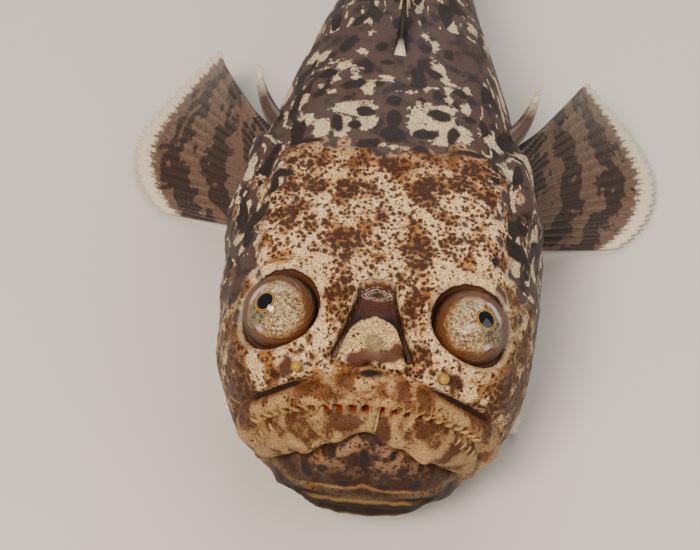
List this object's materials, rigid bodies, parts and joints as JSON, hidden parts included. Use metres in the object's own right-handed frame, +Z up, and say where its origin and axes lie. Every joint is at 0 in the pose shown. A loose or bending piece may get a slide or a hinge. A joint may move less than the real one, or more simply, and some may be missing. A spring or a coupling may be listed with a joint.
{
  "type": "stargazer fish model",
  "caption": "Life-size marbled stargazer lying on its belly, eyes on top of a flat broad head, mouth turned up and fringed, fins spread beside a tapering tail.",
  "frame": {"origin": "on the floor, under the middle of the model's box", "axes": "-Y is where the head faces, +Y runs along the body towards the tail, +X is the fish's left side, +Z is up"},
  "size_m": [0.159, 0.3044, 0.0769],
  "materials": {
    "head": "wet skin over bone, cream with red-brown specks",
    "upper_jaw": "wet skin, tan",
    "lower_jaw": "wet skin, tan with brown blotches",
    "gill_cover": "wet skin, marbled",
    "eye": "wet and glossy",
    "torso": "wet skin, dark brown with pale patches",
    "tail": "wet skin, dark brown with pale patches",
    "first_dorsal_fin": "thin skin on spines, black with a pale edge",
    "second_dorsal_fin": "thin skin on rays",
    "anal_fin": "thin skin on rays, pale",
    "caudal_fin": "thin skin on rays, dark with a pale edge",
    "pectoral_fin": "thin skin on rays, brown with a pale edge",
    "pelvic_fin": "thick skin on rays, pale"
  },
  "bodies": {
    "root": {"head": "head", "upper_jaw": "upper_jaw", "lower_jaw": "lower_jaw", "gill_cover_left": "gill_cover", "gill_cover_right": "gill_cover", "eye_left": "eye", "eye_right": "eye", "torso": "torso", "tail": "tail", "first_dorsal_fin": "first_dorsal_fin", "second_dorsal_fin": "second_dorsal_fin", "anal_fin": "anal_fin", "caudal_fin": "caudal_fin", "pectoral_fin_left": "pectoral_fin", "pectoral_fin_right": "pectoral_fin", "pelvic_fin_left": "pelvic_fin", "pelvic_fin_right": "pelvic_fin"}
  },
  "joints": []
}
